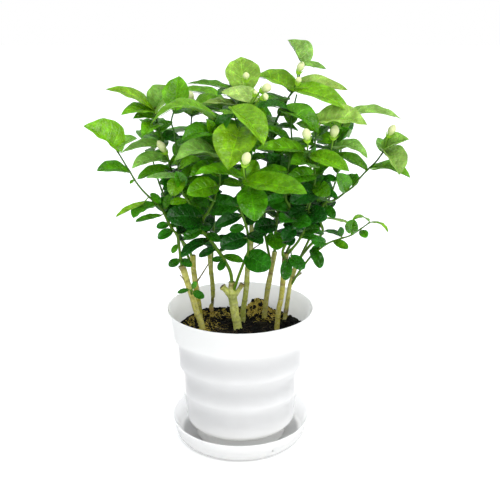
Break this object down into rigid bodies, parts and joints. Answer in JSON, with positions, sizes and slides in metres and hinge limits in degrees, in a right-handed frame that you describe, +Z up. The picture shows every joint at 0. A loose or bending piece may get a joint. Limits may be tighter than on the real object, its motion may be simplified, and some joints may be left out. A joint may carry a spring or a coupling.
{
  "type": "potted arabian jasmine",
  "caption": "Potted flowering shrub: leafy green shoots with cream buds on pruned canes, in a ringed white pot on a saucer.",
  "frame": {"origin": "centre of the saucer's flat underside, on the surface that the part stands on", "axes": "+Z up along the pot's axis; -Y towards the side seen in the picture; +X to the right as seen there"},
  "size_m": [0.3221, 0.2226, 0.4294],
  "materials": {
    "white_plastic": "gloss",
    "potting_soil": "matte",
    "woody_cane": "matte",
    "leaf_green": "satin",
    "bud_cream": "satin"
  },
  "bodies": {
    "root": {"bud_01": "bud_cream", "bud_02": "bud_cream", "bud_03": "bud_cream", "bud_04": "bud_cream", "bud_05": "bud_cream", "bud_06": "bud_cream", "bud_07": "bud_cream", "bud_08": "bud_cream", "bud_09": "bud_cream", "bud_10": "bud_cream", "bud_11": "bud_cream", "bud_12": "bud_cream", "cane_a": "woody_cane", "cane_b": "woody_cane", "cane_c": "woody_cane", "cane_d": "woody_cane", "cane_e": "woody_cane", "cane_f": "woody_cane", "cane_g": "woody_cane", "cane_h": "woody_cane", "pot": "white_plastic", "saucer": "white_plastic", "shoot_back_left": "leaf_green", "shoot_centre": "leaf_green", "shoot_fork": "leaf_green", "shoot_front": "leaf_green", "shoot_left": "leaf_green", "shoot_left_tall": "leaf_green", "shoot_low_right": "leaf_green", "shoot_rear": "leaf_green", "shoot_rear_centre": "leaf_green", "shoot_rear_left": "leaf_green", "shoot_rear_right": "leaf_green", "shoot_right": "leaf_green", "shoot_right_inner": "leaf_green", "shoot_right_mid": "leaf_green", "shoot_right_top": "leaf_green", "shoot_top": "leaf_green", "soil": "potting_soil", "sprig_left": "leaf_green"}
  },
  "joints": []
}
